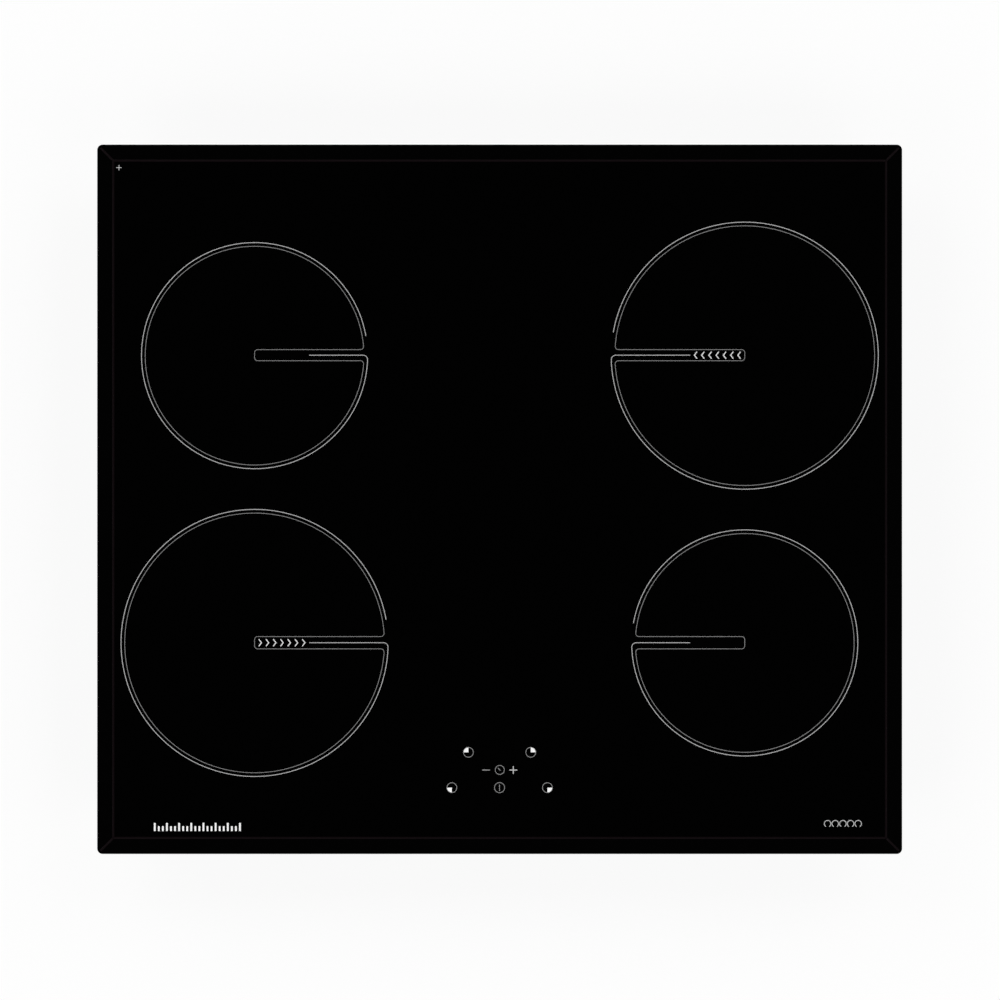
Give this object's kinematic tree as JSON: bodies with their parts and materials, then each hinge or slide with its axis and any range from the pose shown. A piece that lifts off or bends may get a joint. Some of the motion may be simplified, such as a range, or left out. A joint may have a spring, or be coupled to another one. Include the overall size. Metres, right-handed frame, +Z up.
{
  "type": "built-in induction hob",
  "caption": "Flush black glass induction cooktop with bevelled edges, round zones and touch controls, over a shallow steel case that drops into a worktop cut-out.",
  "frame": {"origin": "middle of the plane where the seal under the glass rim lies on the worktop", "axes": "+X to the right and +Y to the rear as the cook stands before it, +Z up out of the worktop"},
  "size_m": [0.59, 0.52, 0.056],
  "materials": {
    "glass_ceramic": "polished black",
    "foam": "closed-cell foam",
    "silicone": "cured bead",
    "galvanised_steel": "galvanised sheet",
    "zinc_screws": "zinc plated",
    "litz_copper": "enamelled strands",
    "former_plastic": "moulded, glass filled",
    "mica": "pressed sheet",
    "ferrite": "sintered",
    "sensor_silicone": "moulded boot",
    "spring_steel": "rolled",
    "aluminium": "mill finish",
    "tray_plastic": "moulded, glass filled",
    "fan_plastic": "moulded",
    "circuit_board": "solder mask",
    "component_plastic": "moulded",
    "capacitor_resin": "potted box",
    "terminal_plastic": "moulded",
    "brass": "machined",
    "electrode_foam": "conductive foam",
    "lead_insulation": "extruded"
  },
  "bodies": {
    "hob": {"bottom_case": "galvanised_steel", "buzzer": "component_plastic", "choke_left": "ferrite", "choke_right": "ferrite", "clamp_screws": "zinc_screws", "coil_former_front_left": "former_plastic", "coil_former_front_right": "former_plastic", "coil_former_rear_left": "former_plastic", "coil_former_rear_right": "former_plastic", "coil_plate_left": "aluminium", "coil_plate_right": "aluminium", "coil_springs": "spring_steel", "coil_winding_front_left": "litz_copper", "coil_winding_front_right": "litz_copper", "coil_winding_rear_left": "litz_copper", "coil_winding_rear_right": "litz_copper", "control_board": "circuit_board", "control_carrier": "tray_plastic", "digit_displays": "component_plastic", "electronics_tray_left": "tray_plastic", "electronics_tray_right": "tray_plastic", "fan_cover_left": "tray_plastic", "fan_cover_right": "tray_plastic", "fan_motors": "fan_plastic", "ferrite_bars": "ferrite", "film_capacitors_left": "capacitor_resin", "film_capacitors_right": "capacitor_resin", "filter_board": "circuit_board", "filter_choke": "ferrite", "filter_spacers": "tray_plastic", "frame_screws": "zinc_screws", "glass_adhesive": "silicone", "glass_frame": "galvanised_steel", "glass_top": "glass_ceramic", "heatsink_left": "aluminium", "heatsink_right": "aluminium", "hinge_pin": "spring_steel", "mains_capacitors": "capacitor_resin", "mains_leads": "lead_insulation", "mains_relays": "component_plastic", "mica_sheets": "mica", "power_board_left": "circuit_board", "power_board_right": "circuit_board", "power_transistors_left": "component_plastic", "power_transistors_right": "component_plastic", "temp_sensors": "sensor_silicone", "terminal_block": "terminal_plastic", "terminal_box": "tray_plastic", "terminal_cages": "brass", "touch_electrodes": "electrode_foam", "worktop_seal": "foam"},
    "fan_left": {"fan_impeller_left": "fan_plastic", "fan_shaft_left": "spring_steel"},
    "fan_right": {"fan_impeller_right": "fan_plastic", "fan_shaft_right": "spring_steel"},
    "terminal_door": {"terminal_cover": "tray_plastic"},
    "clamp_front_left": {"worktop_clamp_front_left": "galvanised_steel"},
    "clamp_rear_left": {"worktop_clamp_rear_left": "galvanised_steel"},
    "clamp_rear_right": {"worktop_clamp_rear_right": "galvanised_steel"},
    "clamp_front_right": {"worktop_clamp_front_right": "galvanised_steel"}
  },
  "joints": [
    {"name": "fan_left_spin", "type": "hinge", "parent": "hob", "child": "fan_left", "pos_m": [-0.1571, 0.1502, -0.035], "axis": [0, 0, 1], "continuous": true},
    {"name": "fan_right_spin", "type": "hinge", "parent": "hob", "child": "fan_right", "pos_m": [0.1571, 0.1502, -0.035], "axis": [0, 0, 1], "continuous": true},
    {"name": "terminal_door_hinge", "type": "hinge", "parent": "hob", "child": "terminal_door", "pos_m": [0, 0.1687, -0.0478], "axis": [-1, 0, 0], "range_deg": [0, 100]},
    {"name": "clamp_front_left_swivel", "type": "hinge", "parent": "hob", "child": "clamp_front_left", "pos_m": [-0.263, -0.168, -0.039], "axis": [0, 0, 1], "range_deg": [0, 90]},
    {"name": "clamp_rear_left_swivel", "type": "hinge", "parent": "hob", "child": "clamp_rear_left", "pos_m": [-0.263, 0.168, -0.039], "axis": [0, 0, -1], "range_deg": [0, 90]},
    {"name": "clamp_rear_right_swivel", "type": "hinge", "parent": "hob", "child": "clamp_rear_right", "pos_m": [0.263, 0.168, -0.039], "axis": [0, 0, 1], "range_deg": [0, 90]},
    {"name": "clamp_front_right_swivel", "type": "hinge", "parent": "hob", "child": "clamp_front_right", "pos_m": [0.263, -0.168, -0.039], "axis": [0, 0, -1], "range_deg": [0, 90]}
  ]
}
